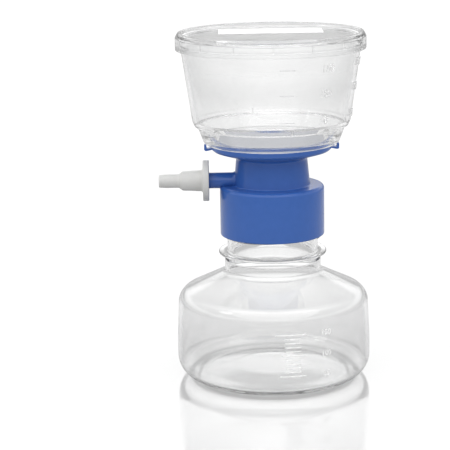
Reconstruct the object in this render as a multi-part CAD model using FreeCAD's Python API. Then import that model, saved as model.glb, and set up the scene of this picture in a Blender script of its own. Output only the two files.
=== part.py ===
"""Vacuum filtration unit: lidded chamber, membrane, threaded base with a side arm, receiver bottle.

Frame: millimetres, +Z up, origin on the bottle's axis at the surface it stands on.
The side arm points along -X and the graduated face of the bottle looks along -Y.
"""

import FreeCAD
import Part

import math
import os

VEC = FreeCAD.Vector
AXIS_UP = VEC(0, 0, 1)
ORIGIN = VEC(0, 0, 0)

# ---------------------------------------------------------------- clearances
lift_gap = 0.3            # between curved faces that slide past each other
thread_gap = 1.5          # between the plain walls that carry the two threads
socket_gap = 0.2          # between the side arm's spigot and the adaptor's socket
plug_gap = 0.05           # around the plug packed into the side arm
membrane_gap = 0.1        # around the membrane in its pocket
hook_gap = 0.5            # between the hooks' tops and the chamber's underside

# ---------------------------------------------------------- receiver bottle
receiver_radius = 43.0
receiver_belly_height = 16.0  # the wall leans in above this
receiver_taper = 0.9      # radius lost between the belly and the shoulder
receiver_wall = 1.5
heel_radius = 9.2
foot_width = 2.8          # flat ring that the bottle stands on
push_up_height = 2.4      # the bottom's hollow
push_up_slope = 15.0      # radial run of the hollow's sloping edge
push_up_rounding = 25.0   # where that edge runs out into the flat middle
shoulder_corner_radius = 6.5
shoulder_slope_deg = 25.5
shoulder_top_height = 47.6
neck_radius = 21.3        # below the ring
neck_ring_height = 55.5
neck_ring_thickness = 1.1
neck_ring_overhang = 3.8  # beyond the finish
finish_radius = 20.0      # thread root, above the ring
finish_wall = 1.6
lip_height = 82.8

# ------------------------------------------------------------------- gasket
gasket_thickness = 1.4
gasket_width = 3.8

# -------------------------------------------------------------- filter base
collar_wall = 1.5
collar_lift = 7.3         # of the collar's lower edge above the neck ring
collar_top_thickness = 1.8
collar_edge_radius = 1.7
hub_base_radius = 16.8
hub_top_radius = 15.6
hub_height = 12.4
hub_wall = 1.6
dish_rim_width = 1.3      # beyond the membrane's pocket
dish_height = 6.0         # from the dish's lowest point to its rim
dish_wall = 1.6
dish_lip_height = 2.0     # of the upright outer edge
dish_slope_rise = 3.1     # of the sloping underside
dish_floor_rise = 2.5     # fall of the floor towards the drain
membrane_land = 1.6       # width of the ledge under the membrane's edge
spout_bore_radius = 3.0
spout_wall = 1.6
spout_reach = 12.0        # below the bottle's lip
support_rib_count = 16
support_rib_width = 1.0
hook_reach = 2.9          # beyond the dish rim
hook_thickness = 1.2
hook_arm_thickness = 0.8
hook_drop = 0.5           # of the hooks' arms below the dish's upright edge
hook_angle_deg = 12.0

# ---------------------------------------------------- side arm and adaptor
arm_floor = 0.3           # of the arm's underside above the collar's ceiling
arm_overhang = 4.7        # of the arm's shoulder beyond the collar
arm_shoulder_width = 0.45  # ledge that the adaptor's flange meets
arm_bore_radius = 1.9
spigot_length = 10.5
spigot_root_radius = 3.05
spigot_taper = 0.2        # radius lost along the spigot
adaptor_flange_radius = 9.0
adaptor_flange_thickness = 2.7
adaptor_root_wall = 1.45  # around the socket's mouth
adaptor_tip_wall = 1.2    # around the socket's end
adaptor_web = 0.9         # from the socket's end to the barrel's end
adaptor_cone_length = 1.7
nose_radius = 3.0
nose_straight_length = 5.6
nose_taper_length = 3.2
nose_tip_radius = 2.75
nose_bore_radius = 1.5
plug_length = 6.0
plug_inset = 1.0          # from the spigot's end

# ----------------------------------------------------------------- membrane
membrane_radius = 25.0
membrane_thickness = 0.3

# ------------------------------------------------------------ upper chamber
chamber_wall = 1.5
bowl_overhang = 3.0       # of the bowl's bottom corner beyond the dish rim
bowl_corner_radius = 2.6
bowl_wall = 1.8
bowl_height = 10.6        # from the dish rim to the step
seat_grip = 1.4           # width of the membrane's edge under the seat
seat_thickness = 2.6
step_overhang = 5.2       # of the step's top beyond the bowl's bottom corner
step_height = 2.7
step_width = 2.3
mouth_overhang = 4.6      # of the wall's top beyond the step
chamber_height = 46.6     # from the dish rim to the mouth
bead_depth = 0.5
bead_height = 3.4
mouth_rim_width = 1.45    # of the flat rim that the lid rests on

# ---------------------------------------------------------------------- lid
lid_wall = 1.1
lid_panel_thickness = 1.4
lid_plug_depth = 0.8      # of the panel inside the mouth
lid_skirt_depth = 5.2
lid_rim_height = 2.4      # of the stacking rim above the mouth
lid_rim_width = 1.3
lid_flare = 1.2
lid_rib_count = 15
lid_rib_height = 0.3
lid_rib_width = 1.2

# ----------------------------------------------------------- derived places
neck_ring_radius = finish_radius + neck_ring_overhang
neck_ring_top = neck_ring_height + neck_ring_thickness
neck_bore_radius = finish_radius - finish_wall

collar_bore_radius = finish_radius + thread_gap
collar_radius = collar_bore_radius + collar_wall
collar_ceiling = lip_height + gasket_thickness
collar_top = collar_ceiling + collar_top_thickness
collar_bottom = neck_ring_top + collar_lift

gasket_outer_radius = collar_bore_radius - lift_gap
gasket_inner_radius = gasket_outer_radius - gasket_width

dish_bottom = collar_top + hub_height
dish_rim_top = dish_bottom + dish_height
membrane_bottom = dish_rim_top - membrane_thickness
membrane_pocket_radius = membrane_radius + membrane_gap
dish_rim_radius = membrane_pocket_radius + dish_rim_width
dish_well_radius = membrane_radius - membrane_land
dish_lip_bottom = dish_rim_top - dish_lip_height
dish_slope_radius = dish_rim_radius - (dish_lip_bottom - dish_bottom - dish_slope_rise)

spout_radius = spout_bore_radius + spout_wall
spout_tip = lip_height - spout_reach
arm_radius = spigot_root_radius + arm_shoulder_width
arm_height = collar_ceiling + arm_floor + arm_radius
arm_reach = collar_radius + arm_overhang
spigot_tip_radius = spigot_root_radius - spigot_taper
hub_draft = (hub_base_radius - hub_top_radius) / hub_height
hub_radius_at_arm = hub_base_radius - hub_draft * (arm_height - collar_top)
spigot_end = arm_reach + spigot_length

socket_mouth_radius = spigot_root_radius + socket_gap
socket_end_radius = spigot_tip_radius + socket_gap
socket_end = spigot_end + socket_gap
flange_end = arm_reach + adaptor_flange_thickness
barrel_end = socket_end + adaptor_web
cone_end = barrel_end + adaptor_cone_length
nose_straight_end = cone_end + nose_straight_length
nose_end = nose_straight_end + nose_taper_length

bowl_corner = dish_rim_radius + bowl_overhang
step_radius = bowl_corner + step_overhang
mouth_radius = step_radius + mouth_overhang
seat_radius = membrane_radius - seat_grip
seat_top = dish_rim_top + seat_thickness
step_bottom = dish_rim_top + bowl_height - step_height
step_top = dish_rim_top + bowl_height
mouth_top = dish_rim_top + chamber_height
bead_radius = mouth_radius + bead_depth
bead_bottom = mouth_top - bead_height
mouth_inner_radius = bead_radius - mouth_rim_width

lid_rib_tip_radius = bead_radius + lift_gap
lid_inner_radius = lid_rib_tip_radius + lid_rib_height
lid_radius = lid_inner_radius + lid_wall
lid_plug_radius = mouth_inner_radius - lift_gap
lid_panel_bottom = mouth_top - lid_plug_depth
lid_panel_top = lid_panel_bottom + lid_panel_thickness
lid_top = mouth_top + lid_rim_height
lid_bottom = mouth_top - lid_skirt_depth


# ------------------------------------------------------------------ helpers
def fillet_points(before, corner, after, radius):
    """Start, middle and end of the arc that rounds a corner of an outline."""
    towards_before = (before - corner).normalize()
    towards_after = (after - corner).normalize()
    half_angle = towards_before.getAngle(towards_after) / 2
    setback = radius / math.tan(half_angle)
    bisector = (towards_before + towards_after).normalize()
    centre = corner + bisector * (radius / math.sin(half_angle))
    return (
        corner + towards_before * setback,
        centre - bisector * radius,
        corner + towards_after * setback,
    )


def outline_face(corners):
    """Face in the XZ plane from (radius, height) corners; a third value rounds its corner."""
    points = [VEC(c[0], 0, c[1]) for c in corners]
    count = len(points)
    edges = []
    first = last = None
    for i, corner in enumerate(corners):
        if len(corner) > 2:
            start, middle, end = fillet_points(points[i - 1], points[i], points[(i + 1) % count], corner[2])
        else:
            start = middle = end = points[i]
        if last is None:
            first = start
        elif (start - last).Length > 1e-7:
            edges.append(Part.LineSegment(last, start).toShape())
        if len(corner) > 2:
            edges.append(Part.Arc(start, middle, end).toShape())
        last = end
    edges.append(Part.LineSegment(last, first).toShape())
    return Part.Face(Part.Wire(edges))


def turned(corners, start_deg=0.0, sweep_deg=360.0):
    """Solid of revolution about the vertical axis."""
    solid = outline_face(corners).revolve(ORIGIN, AXIS_UP, sweep_deg)
    solid.rotate(ORIGIN, AXIS_UP, start_deg)
    return solid


def turned_on_arm(corners):
    """Solid of revolution about the side arm's axis; corners are (distance from the axis, reach along -X)."""
    solid = turned(corners)
    solid.rotate(ORIGIN, VEC(0, 1, 0), -90)
    solid.translate(VEC(0, 0, arm_height))
    return solid


def around_axis(solid, count, start_deg=0.0):
    """Copies of a solid at equal angles about the vertical axis."""
    copies = []
    for i in range(count):
        copy = solid.copy()
        copy.rotate(ORIGIN, AXIS_UP, start_deg + 360.0 * i / count)
        copies.append(copy)
    return copies


def save(node, shape):
    """Write one node's STEP file."""
    solids = shape.Solids
    if not solids or not shape.isValid():
        raise ValueError(f"{node} is not a valid solid")
    body = solids[0] if len(solids) == 1 else Part.makeCompound(solids)
    body.exportStep(f"parts/{node}.step")
    print(f"{node}: {len(solids)} solid, {body.Volume / 1000:.2f} cm3")


# ---------------------------------------------------------------- sub-parts
def receiver():
    """Clear squat bottle with a rounded heel, sloping shoulder, ringed neck and plain finish."""
    slope = math.tan(math.radians(shoulder_slope_deg))
    wall_top_radius = receiver_radius - receiver_taper
    shoulder_corner = shoulder_top_height - (wall_top_radius - neck_radius) * slope
    shoulder_drop = receiver_wall / math.cos(math.radians(shoulder_slope_deg))
    inner_neck_radius = neck_radius - receiver_wall
    inner_wall_radius = receiver_radius - receiver_wall
    inner_top_radius = wall_top_radius - receiver_wall
    inner_neck_base = shoulder_top_height - shoulder_drop + (neck_radius - inner_neck_radius) * slope
    inner_shoulder_corner = shoulder_top_height - shoulder_drop - (inner_top_radius - neck_radius) * slope
    foot_inner_radius = receiver_radius - heel_radius - foot_width
    push_up_radius = foot_inner_radius - push_up_slope
    edge = 0.4
    return turned([
        (0, push_up_height),
        (push_up_radius, push_up_height, push_up_rounding),
        (foot_inner_radius, 0, 1.5),
        (receiver_radius, 0, heel_radius),
        (receiver_radius, receiver_belly_height),
        (wall_top_radius, shoulder_corner, shoulder_corner_radius),
        (neck_radius, shoulder_top_height, 2.0),
        (neck_radius, neck_ring_height),
        (neck_ring_radius, neck_ring_height, edge),
        (neck_ring_radius, neck_ring_top, edge),
        (finish_radius, neck_ring_top),
        (finish_radius, lip_height, edge),
        (neck_bore_radius, lip_height),
        (neck_bore_radius, neck_ring_height),
        (inner_neck_radius, neck_ring_height - 3.0),
        (inner_neck_radius, inner_neck_base, 2.0 + receiver_wall),
        (inner_top_radius, inner_shoulder_corner, shoulder_corner_radius - receiver_wall),
        (inner_wall_radius, receiver_belly_height),
        (inner_wall_radius, receiver_wall, heel_radius - receiver_wall),
        (foot_inner_radius, receiver_wall),
        (push_up_radius, push_up_height + receiver_wall, push_up_rounding + receiver_wall),
        (0, push_up_height + receiver_wall),
    ])


def neck_gasket():
    """Flat ring that seals the bottle's lip against the collar's ceiling."""
    edge = 0.2
    return turned([
        (gasket_inner_radius, lip_height, edge),
        (gasket_outer_radius, lip_height, edge),
        (gasket_outer_radius, collar_ceiling, edge),
        (gasket_inner_radius, collar_ceiling, edge),
    ])


def base_turning():
    """The filter base's turned form: drip spout, hub, collar and dish as one wall."""
    hub_inner_top = hub_top_radius - hub_wall
    hub_inner_base = hub_base_radius - hub_wall
    floor_centre = dish_bottom + dish_wall
    return turned([
        (spout_bore_radius, spout_tip),
        (spout_radius, spout_tip),
        (spout_radius, dish_bottom),
        (hub_inner_top, dish_bottom),
        (hub_inner_base, collar_ceiling),
        (collar_bore_radius, collar_ceiling),
        (collar_bore_radius, collar_bottom),
        (collar_radius, collar_bottom, 0.5),
        (collar_radius, collar_top, collar_edge_radius),
        (hub_base_radius, collar_top),
        (hub_top_radius, dish_bottom, 1.5),
        (dish_slope_radius, dish_bottom + dish_slope_rise, 1.5),
        (dish_rim_radius, dish_lip_bottom),
        (dish_rim_radius, dish_rim_top),
        (membrane_pocket_radius, dish_rim_top),
        (membrane_pocket_radius, membrane_bottom),
        (dish_well_radius, membrane_bottom),
        (dish_well_radius, floor_centre + dish_floor_rise),
        (spout_bore_radius, floor_centre),
    ])


def support_ribs():
    """Radial ribs in the dish that hold the membrane flat over the drain; every second one is short."""
    floor_centre = dish_bottom + dish_wall
    fall = dish_floor_rise / (dish_well_radius - spout_bore_radius)
    root = 0.4            # how far a rib is set into the floor and the wall
    ribs = []
    for first_radius, start_deg in ((spout_radius + 1.5, 0.0), (dish_well_radius / 2, 360.0 / support_rib_count)):
        last_radius = dish_well_radius + root
        first_floor = floor_centre + fall * (first_radius - spout_bore_radius) - root
        last_floor = floor_centre + fall * (dish_well_radius - spout_bore_radius) - root
        rib = outline_face([
            (first_radius, first_floor),
            (last_radius, last_floor),
            (last_radius, membrane_bottom),
            (first_radius, membrane_bottom),
        ]).extrude(VEC(0, support_rib_width, 0))
        rib.translate(VEC(0, -support_rib_width / 2, 0))
        ribs += around_axis(rib, support_rib_count // 2, start_deg)
    return ribs


def hooks():
    """Two upturned tabs on the dish, over the side arm and opposite it."""
    tip_radius = dish_rim_radius + hook_reach
    arm_bottom = dish_lip_bottom - hook_drop
    post_top = dish_rim_top - hook_gap
    root_radius = dish_slope_radius - 0.5
    hook = turned([
        (root_radius, arm_bottom),
        (tip_radius, arm_bottom, 0.4),
        (tip_radius, post_top, 0.4),
        (tip_radius - hook_thickness, post_top, 0.4),
        (tip_radius - hook_thickness, arm_bottom + hook_arm_thickness),
        (root_radius, arm_bottom + hook_arm_thickness),
    ], -hook_angle_deg / 2, hook_angle_deg)
    return around_axis(hook, 2)


def filter_base():
    """One moulding: threaded collar, hub, membrane dish, drip spout, side arm and hooks."""
    arm_root = hub_radius_at_arm - hub_wall / 2
    arm = turned_on_arm([
        (0, arm_root),
        (arm_radius, arm_root),
        (arm_radius, arm_reach),
        (spigot_root_radius, arm_reach),
        (spigot_tip_radius, spigot_end, 0.3),
        (0, spigot_end),
    ])
    arm_bore = turned_on_arm([
        (0, arm_root - hub_wall),
        (arm_bore_radius, arm_root - hub_wall),
        (arm_bore_radius, spigot_end + 1.0),
        (0, spigot_end + 1.0),
    ])
    moulding = base_turning().fuse([arm] + support_ribs() + hooks())
    return moulding.cut(arm_bore).removeSplitter()


def port_plug():
    """Fibre plug packed into the side arm's bore."""
    radius = arm_bore_radius - plug_gap
    outer_end = spigot_end - plug_inset
    return turned_on_arm([
        (0, outer_end - plug_length),
        (radius, outer_end - plug_length, 0.3),
        (radius, outer_end, 0.3),
        (0, outer_end),
    ])


def hose_adaptor():
    """Stepped nozzle with a finger flange, pushed onto the side arm's spigot."""
    edge = 0.4
    return turned_on_arm([
        (socket_mouth_radius, arm_reach),
        (adaptor_flange_radius, arm_reach, edge),
        (adaptor_flange_radius, flange_end, edge),
        (socket_mouth_radius + adaptor_root_wall, flange_end, 1.0),
        (socket_end_radius + adaptor_tip_wall, barrel_end, 0.5),
        (nose_radius, cone_end, 0.5),
        (nose_radius, nose_straight_end),
        (nose_tip_radius, nose_end, edge),
        (nose_bore_radius, nose_end, 0.2),
        (nose_bore_radius, socket_end, 0.3),
        (socket_end_radius, socket_end, 0.3),
    ])


def membrane():
    """Filter disc, clamped at its edge between the dish and the chamber."""
    return Part.makeCylinder(membrane_radius, membrane_thickness, VEC(0, 0, membrane_bottom))


def upper_chamber():
    """Clear tapered cup: membrane seat, small bowl, step, tall wall and beaded mouth."""
    wall_slope = (mouth_radius - step_radius) / (bead_bottom - step_top)
    bowl_top_radius = step_radius - chamber_wall
    bowl_slope = (step_radius - step_width - bowl_corner) / (step_bottom - dish_rim_top)
    bowl_floor_radius = bowl_corner + bowl_slope * seat_thickness - bowl_wall
    return turned([
        (bowl_corner, dish_rim_top, bowl_corner_radius),
        (step_radius - step_width, step_bottom, 0.8),
        (step_radius - 0.9, step_bottom + 0.5, 0.6),
        (step_radius, step_top, 2.0),
        (mouth_radius, bead_bottom, 0.5),
        (bead_radius, bead_bottom + bead_depth, 0.3),
        (bead_radius, mouth_top, 0.5),
        (mouth_inner_radius, mouth_top, 0.3),
        (mouth_inner_radius - wall_slope * bead_height, bead_bottom, 2.0),
        (bowl_top_radius + 0.05, step_top + 0.4, 0.5),
        (bowl_top_radius - 0.8, step_top - 0.4, 0.5),
        (bowl_floor_radius, seat_top, 0.8),
        (seat_radius + seat_thickness, seat_top, 0.3),
        (seat_radius, dish_rim_top),
    ])


def lid():
    """Clear shallow lid: recessed panel with a plug step, stacking rim and a ribbed skirt."""
    shell = turned([
        (0, lid_panel_bottom),
        (lid_plug_radius, lid_panel_bottom, 0.3),
        (lid_plug_radius, mouth_top),
        (lid_inner_radius, mouth_top),
        (lid_inner_radius, lid_bottom, 0.3),
        (lid_radius, lid_bottom, 0.6),
        (lid_radius, mouth_top + 0.2, 1.0),
        (lid_radius - lid_flare, lid_top, 0.6),
        (lid_radius - lid_flare - lid_rim_width, lid_top, 0.5),
        (lid_radius - lid_flare - lid_rim_width - 0.4, lid_panel_top, 0.5),
        (0, lid_panel_top),
    ])
    rib = Part.makeBox(
        lid_rib_height + lid_wall / 2, lid_rib_width, lid_skirt_depth - 0.7,
        VEC(lid_rib_tip_radius, -lid_rib_width / 2, lid_bottom + 0.7))
    return shell.fuse(around_axis(rib, lid_rib_count, -90.0)).removeSplitter()


def main():
    """Build every node and write its STEP file."""
    os.makedirs("parts", exist_ok=True)
    for build in (
        receiver, neck_gasket, filter_base, port_plug, hose_adaptor, membrane, upper_chamber, lid,
    ):
        save(build.__name__, build())


main()
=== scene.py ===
"""Looks of a vacuum filtration unit: clear mouldings, blue filter base, hose adaptor, studio and camera.

Sizes held by the classes are millimetres and degrees, in the part's own frame: +Z up, the side arm
along -X, the graduated face along -Y. Meshes are made in millimetres and stored in metres.
"""

import logging
import math
from abc import ABC, abstractmethod
from dataclasses import dataclass
from enum import Enum

import bmesh
import bpy
from mathutils import Matrix, Vector


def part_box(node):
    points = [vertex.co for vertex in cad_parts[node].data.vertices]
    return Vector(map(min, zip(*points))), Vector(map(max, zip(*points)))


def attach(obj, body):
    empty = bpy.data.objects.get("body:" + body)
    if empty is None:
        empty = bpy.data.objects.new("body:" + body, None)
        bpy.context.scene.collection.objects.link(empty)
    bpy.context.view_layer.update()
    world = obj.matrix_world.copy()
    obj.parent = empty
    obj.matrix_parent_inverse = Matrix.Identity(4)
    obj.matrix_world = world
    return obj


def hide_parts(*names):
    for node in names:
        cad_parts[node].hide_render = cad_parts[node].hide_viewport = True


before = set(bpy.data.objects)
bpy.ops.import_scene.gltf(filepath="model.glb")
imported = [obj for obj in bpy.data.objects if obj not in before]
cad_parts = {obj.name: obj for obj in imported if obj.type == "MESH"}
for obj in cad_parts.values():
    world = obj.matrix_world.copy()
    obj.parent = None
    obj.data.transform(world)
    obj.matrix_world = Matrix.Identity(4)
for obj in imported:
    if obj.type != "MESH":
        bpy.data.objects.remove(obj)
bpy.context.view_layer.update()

MM = 0.001
FRONT_DEG = -90.0  # direction of the graduated face about the axis
SHARP_DEG = 33.0  # faces that meet at a wider angle show an edge
WELD = 1e-4  # points closer than this are one
ON_AXIS = 1e-6  # points closer than this are on the axis
ARM_RISE = 2.0  # the side arm's axis above the collar's top
MARK_GAP = 0.02  # air between a raised mark and its wall
RIB_EDGE = 0.1  # rounding of a small rib's edges
DIGIT_SHARE = 0.7  # a digit's height as a share of the font's size
ROUNDING_STEP_DEG = 9.0  # turn taken by one segment of a rounded corner
THREAD_STEPS = 96  # segments in one turn of a thread
THREAD_TIP_SHARE = 0.04  # a thread's height at its very ends, as a share
THREAD_ROOT_HALF = 0.95  # half the width of a thread's ridge at its root
THREAD_CREST_HALF = 0.35  # half its width at the crest
HAZE_PER_WAVE = 4.0  # how much finer handling haze is than the broad waves
LOG = logging.getLogger("filtration_unit")

Pair = tuple[float, float]
Triple = tuple[float, float, float]
Corner = tuple[float, ...]
Stops = tuple[Pair, ...]
Socket = bpy.types.NodeSocket
Feeds = dict[str | int, object]
Material = bpy.types.Material


class Body(Enum):
    """Rigid bodies that new pieces ride on."""

    RECEIVER = "receiver"
    HEAD = "filter_head"
    LID = "lid"
    ADAPTOR = "hose_adaptor"


class Slot(Enum):
    """The record's material slots, named for each new piece."""

    CLEAR = "clear_plastic"
    BLUE = "blue_plastic"
    WHITE = "white_plastic"


# ------------------------------------------------------------------ materials
@dataclass
class Nodes:
    """A short way to build a node tree."""

    tree: bpy.types.NodeTree

    def add(self, kind: str, feeds: Feeds | None = None, **properties: object) -> bpy.types.Node:
        """Add a node.

        Args:
            kind: node type name.
            feeds: value or source socket for some of its inputs, by label or number.
            **properties: node properties, set first.

        Returns:
            The new node.
        """
        node = self.tree.nodes.new(kind)
        for name, value in properties.items():
            setattr(node, name, value)
        for label, value in (feeds or {}).items():
            if isinstance(value, Socket):
                self.tree.links.new(value, node.inputs[label])
            else:
                node.inputs[label].default_value = value
        return node

    def maths(self, operation: str, *terms: Socket | float) -> Socket:
        """Add a maths node.

        Args:
            operation: what it does.
            *terms: values or source sockets, in order.

        Returns:
            The result's socket.
        """
        return self.add("ShaderNodeMath", dict(enumerate(terms)), operation=operation).outputs[0]


def grey(level: float) -> Triple:
    """Colour with three equal parts."""
    return level, level, level


def placed(name: str, data: bpy.types.ID) -> bpy.types.Object:
    """New object in the scene.

    Args:
        name: its name.
        data: its mesh, curve, light or camera.

    Returns:
        The object, at the origin.
    """
    made = bpy.data.objects.new(name, data)
    bpy.context.scene.collection.objects.link(made)
    return made


def moulded_group() -> bpy.types.NodeTree:
    """Group for a moulded surface: broad sink and flow waves, fine tool grain and handling haze.

    Returns:
        The group, built once and shared by all plastics.
    """
    name = "moulded_surface"
    if name in bpy.data.node_groups:
        return bpy.data.node_groups[name]
    group = bpy.data.node_groups.new(name, "ShaderNodeTree")
    labels = ("Wave Scale", "Wave Height", "Grain Scale", "Grain Height", "Roughness Low", "Roughness High")
    for label in labels:
        group.interface.new_socket(label, in_out="INPUT", socket_type="NodeSocketFloat")
    for label, kind in (("Roughness", "Float"), ("Normal", "Vector"), ("Mask", "Float")):
        group.interface.new_socket(label, in_out="OUTPUT", socket_type="NodeSocket" + kind)
    n = Nodes(group)
    given = n.add("NodeGroupInput").outputs
    place = n.add("ShaderNodeTexCoord").outputs["Object"]
    haze_scale = n.maths("MULTIPLY", given["Wave Scale"], HAZE_PER_WAVE)
    wave = n.add("ShaderNodeTexNoise", {"Vector": place, "Scale": given["Wave Scale"], "Detail": 2.0})
    grain = n.add("ShaderNodeTexNoise", {"Vector": place, "Scale": given["Grain Scale"], "Detail": 3.0})
    haze = n.add("ShaderNodeTexNoise", {
        "Vector": place, "Scale": haze_scale, "Detail": 5.0, "Roughness": 0.6})
    spread = n.add("ShaderNodeMapRange", {
        "Value": haze.outputs["Fac"], "From Min": 0.35, "From Max": 0.7,
        "To Min": given["Roughness Low"], "To Max": given["Roughness High"]})
    waves = n.add("ShaderNodeBump", {
        "Height": wave.outputs["Fac"], "Strength": given["Wave Height"], "Distance": 0.001})
    grains = n.add("ShaderNodeBump", {
        "Height": grain.outputs["Fac"], "Strength": given["Grain Height"], "Distance": 0.0001,
        "Normal": waves.outputs["Normal"]})
    n.add("NodeGroupOutput", {
        "Roughness": spread.outputs["Result"], "Normal": grains.outputs["Normal"],
        "Mask": haze.outputs["Fac"]})
    return group


def tinted(n: Nodes, mask: Socket, low: Triple, high: Triple) -> Socket:
    """Colour that drifts between two tints over a mask.

    Args:
        n: tree being built.
        mask: value from 0 to 1.
        low: colour where the mask is low.
        high: colour where the mask is high.

    Returns:
        The colour's socket.
    """
    ramp = n.add("ShaderNodeValToRGB", {"Fac": mask})
    for element, position, colour in zip(ramp.color_ramp.elements, (0.3, 0.7), (low, high)):
        element.position = position
        element.color = (*colour, 1.0)
    return ramp.outputs["Color"]


def levelled(n: Nodes, place: Socket, stops: Stops) -> Socket:
    """Grey level read off a ramp.

    Args:
        n: tree being built.
        place: position along the ramp, from 0 to 1.
        stops: position and grey level of each stop, in order.

    Returns:
        The level's socket.
    """
    ramp = n.add("ShaderNodeValToRGB", {"Fac": place})
    elements = ramp.color_ramp.elements
    while len(elements) > 1:
        elements.remove(elements[-1])
    elements[0].position, first_level = stops[0]
    elements[0].color = (*grey(first_level), 1.0)
    for position, level in stops[1:]:
        elements.new(position).color = (*grey(level), 1.0)
    return ramp.outputs["Color"]


def moulded(n: Nodes, waves: Pair, grain: Pair, roughness: Pair) -> bpy.types.Node:
    """Place the moulded surface group.

    Args:
        n: tree being built.
        waves: scale and height of the broad waves.
        grain: scale and height of the tool grain.
        roughness: lowest and highest roughness.

    Returns:
        The group node.
    """
    return n.add("ShaderNodeGroup", {
        "Wave Scale": waves[0], "Wave Height": waves[1],
        "Grain Scale": grain[0], "Grain Height": grain[1],
        "Roughness Low": roughness[0], "Roughness High": roughness[1],
    }, node_tree=moulded_group())


@dataclass(frozen=True)
class Finish(ABC):
    """A named look."""

    name: str

    @abstractmethod
    def shader(self, n: Nodes) -> Socket:
        """Build the look's shader.

        Args:
            n: tree being built.

        Returns:
            The shader's socket.
        """

    def material(self) -> Material:
        """Build the material.

        Returns:
            The material.
        """
        material = bpy.data.materials.new(self.name)
        material.use_nodes = True
        material.node_tree.nodes.clear()
        n = Nodes(material.node_tree)
        n.add("ShaderNodeOutputMaterial", {"Surface": self.shader(n)})
        return material


@dataclass(frozen=True)
class ClearPlastic(Finish):
    """Clear moulded polystyrene that lets lamp light through, with painted shade that greys it where it is
    seen edge on.
    """

    low: Triple = (0.965, 0.966, 0.966)
    high: Triple = (0.985, 0.986, 0.986)
    # painted shade: the colour that the plastic greys towards where it is seen edge on
    edge: Triple = (0.5, 0.503, 0.507)
    edge_shade_blend: float = 0.2
    roughness: Pair = (0.01, 0.035)
    waves: Pair = (45.0, 0.08)
    grain: Pair = (1800.0, 0.0)
    transmission: float = 1.0
    shadow: float = 0.9
    ior: float = 1.5

    def shader(self, n: Nodes) -> Socket:
        """Build the look's shader, as `Finish.shader` says."""
        surface = moulded(n, self.waves, self.grain, self.roughness).outputs
        # Painted shade: the base colour greys towards the edge colour as the surface turns edge on to the
        # view.
        edge_shade_share = n.add("ShaderNodeLayerWeight", {"Blend": self.edge_shade_blend}).outputs["Facing"]
        colour = n.add("ShaderNodeMix", {
            "Factor": edge_shade_share, "A": tinted(n, surface["Mask"], self.low, self.high),
            "B": (*self.edge, 1.0),
        }, data_type="RGBA")
        plastic = n.add("ShaderNodeBsdfPrincipled", {
            "Base Color": colour.outputs["Result"], "Roughness": surface["Roughness"],
            "Normal": surface["Normal"], "Transmission Weight": self.transmission, "IOR": self.ior})
        through = n.add("ShaderNodeBsdfTransparent", {"Color": (*grey(self.shadow), 1.0)})
        rays = n.add("ShaderNodeLightPath").outputs
        mix = n.add("ShaderNodeMixShader", {
            "Fac": n.maths("MAXIMUM", rays["Is Shadow Ray"], rays["Is Diffuse Ray"]),
            1: plastic.outputs["BSDF"], 2: through.outputs["BSDF"]})
        return mix.outputs["Shader"]


@dataclass(frozen=True)
class OpaquePlastic(Finish):
    """Coloured moulding with a faint drift of colour, satin gloss and tool grain."""

    low: Triple
    high: Triple
    roughness: Pair
    waves: Pair = (70.0, 0.03)
    grain: Pair = (2600.0, 0.12)
    specular: float = 0.5

    def shader(self, n: Nodes) -> Socket:
        """Build the look's shader, as `Finish.shader` says."""
        surface = moulded(n, self.waves, self.grain, self.roughness).outputs
        plastic = n.add("ShaderNodeBsdfPrincipled", {
            "Base Color": tinted(n, surface["Mask"], self.low, self.high),
            "Roughness": surface["Roughness"], "Normal": surface["Normal"],
            "Specular IOR Level": self.specular})
        return plastic.outputs["BSDF"]


@dataclass(frozen=True)
class PorousFilm(Finish):
    """White fibrous film or packing with fine pores."""

    low: Triple
    high: Triple
    pore_scale: float
    relief: float
    fibre_share: float = 3.0
    specular: float = 0.25
    roughness: float = 0.85

    def shader(self, n: Nodes) -> Socket:
        """Build the look's shader, as `Finish.shader` says."""
        place = n.add("ShaderNodeTexCoord").outputs["Object"]
        cells = n.add("ShaderNodeTexVoronoi", {
            "Vector": place, "Scale": self.pore_scale}, feature="DISTANCE_TO_EDGE")
        fibres = n.add("ShaderNodeTexNoise", {
            "Vector": place, "Scale": self.pore_scale / self.fibre_share, "Detail": 8.0, "Roughness": 0.7})
        bump = n.add("ShaderNodeBump", {
            "Height": cells.outputs["Distance"], "Strength": self.relief, "Distance": 0.0002})
        film = n.add("ShaderNodeBsdfPrincipled", {
            "Base Color": tinted(n, fibres.outputs["Fac"], self.low, self.high),
            "Roughness": self.roughness, "Normal": bump.outputs["Normal"],
            "Specular IOR Level": self.specular})
        return film.outputs["BSDF"]


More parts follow.
